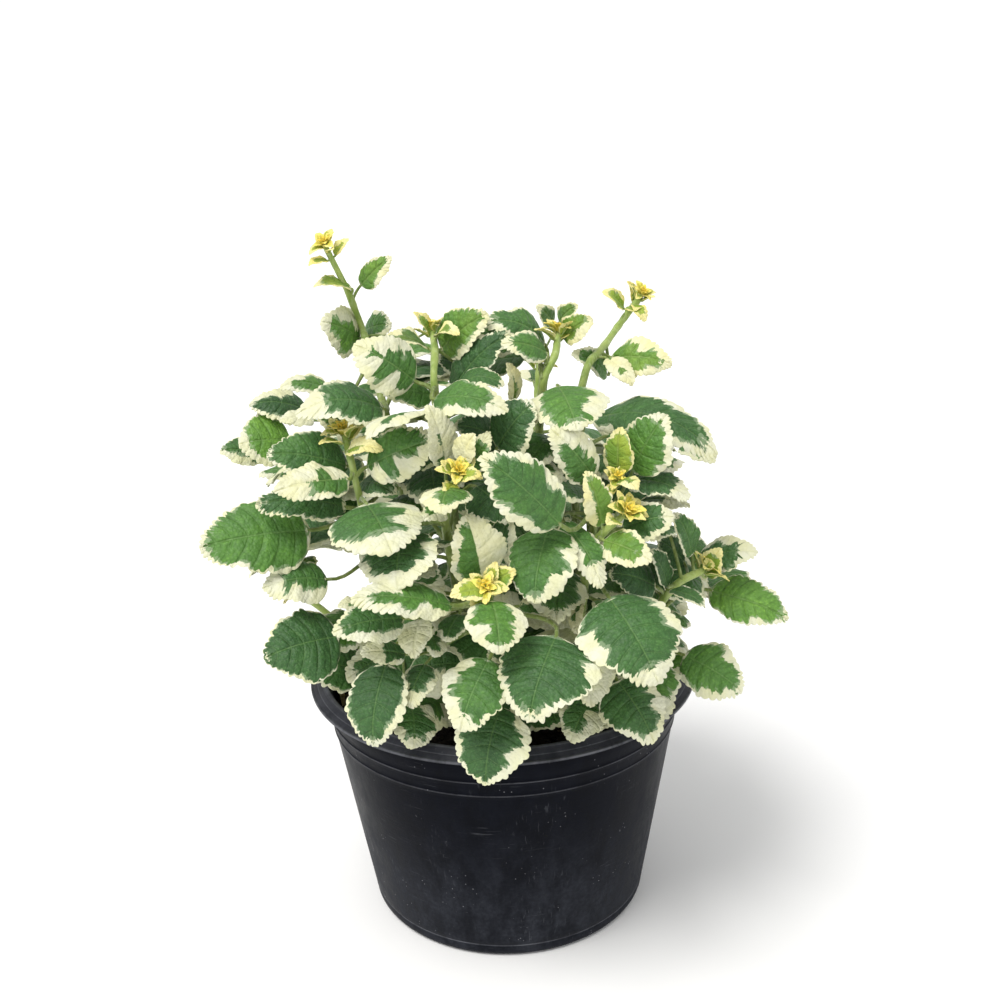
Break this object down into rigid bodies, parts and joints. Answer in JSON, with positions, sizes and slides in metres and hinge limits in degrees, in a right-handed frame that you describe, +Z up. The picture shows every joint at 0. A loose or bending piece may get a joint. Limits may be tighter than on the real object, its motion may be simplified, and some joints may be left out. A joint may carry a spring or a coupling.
{
  "type": "potted scented foliage herb",
  "caption": "Bushy potted herb with cream-edged, scalloped leaves on soft stems, in soil in a squat round nursery pot that stands on its flat base.",
  "frame": {"origin": "on the surface that the pot stands on, at the middle of the pot's underside", "axes": "+Z up along the pot's axis; -Y is the side that the picture shows, with the lowest overhanging leaf; +X is to the right in that view"},
  "size_m": [0.22, 0.2095, 0.2799],
  "materials": {
    "pot_plastic": "black moulded plastic, satin, dusty and lightly scuffed",
    "potting_soil": "loose damp bark and peat, matt",
    "leaf": "soft downy leaf, green with an irregular cream edge, satin",
    "shoot": "soft downy green stem with young leaves, satin"
  },
  "bodies": {
    "root": {"leaf_bottom_cream": "leaf", "leaf_bottom_far_left": "leaf", "leaf_bottom_front": "leaf", "leaf_bottom_left": "leaf", "leaf_bottom_middle": "leaf", "leaf_bottom_outer": "leaf", "leaf_bottom_right": "leaf", "leaf_left_arched": "leaf", "leaf_left_blue": "leaf", "leaf_left_bottom": "leaf", "leaf_left_cream": "leaf", "leaf_left_far": "leaf", "leaf_left_middle": "leaf", "leaf_left_right": "leaf", "leaf_left_striped": "leaf", "leaf_left_under": "leaf", "leaf_low_left_back": "leaf", "leaf_low_left_big": "leaf", "leaf_low_left_small": "leaf", "leaf_mid_cream": "leaf", "leaf_mid_large": "leaf", "leaf_mid_narrow": "leaf", "leaf_middle_down": "leaf", "leaf_middle_half": "leaf", "leaf_middle_round": "leaf", "leaf_right_back": "leaf", "leaf_right_dark": "leaf", "leaf_right_end": "leaf", "leaf_right_long": "leaf", "leaf_right_low": "leaf", "leaf_right_narrow": "leaf", "leaf_right_up": "leaf", "leaf_rim_left": "leaf", "leaf_rim_right": "leaf", "leaf_top_arched": "leaf", "leaf_top_front": "leaf", "leaf_top_grey": "leaf", "leaf_top_left": "leaf", "leaf_top_middle": "leaf", "leaf_top_small": "leaf", "pot": "pot_plastic", "potting_soil": "potting_soil", "shoot_b1": "shoot", "shoot_b2": "shoot", "shoot_b3": "shoot", "shoot_b4": "shoot", "shoot_b5": "shoot", "shoot_b6": "shoot", "shoot_b7": "shoot", "shoot_b8": "shoot", "shoot_s1": "shoot", "shoot_s10": "shoot", "shoot_s2": "shoot", "shoot_s3": "shoot", "shoot_s4": "shoot", "shoot_s5": "shoot", "shoot_s6": "shoot", "shoot_s7": "shoot", "shoot_s8": "shoot", "shoot_s9": "shoot"}
  },
  "joints": []
}
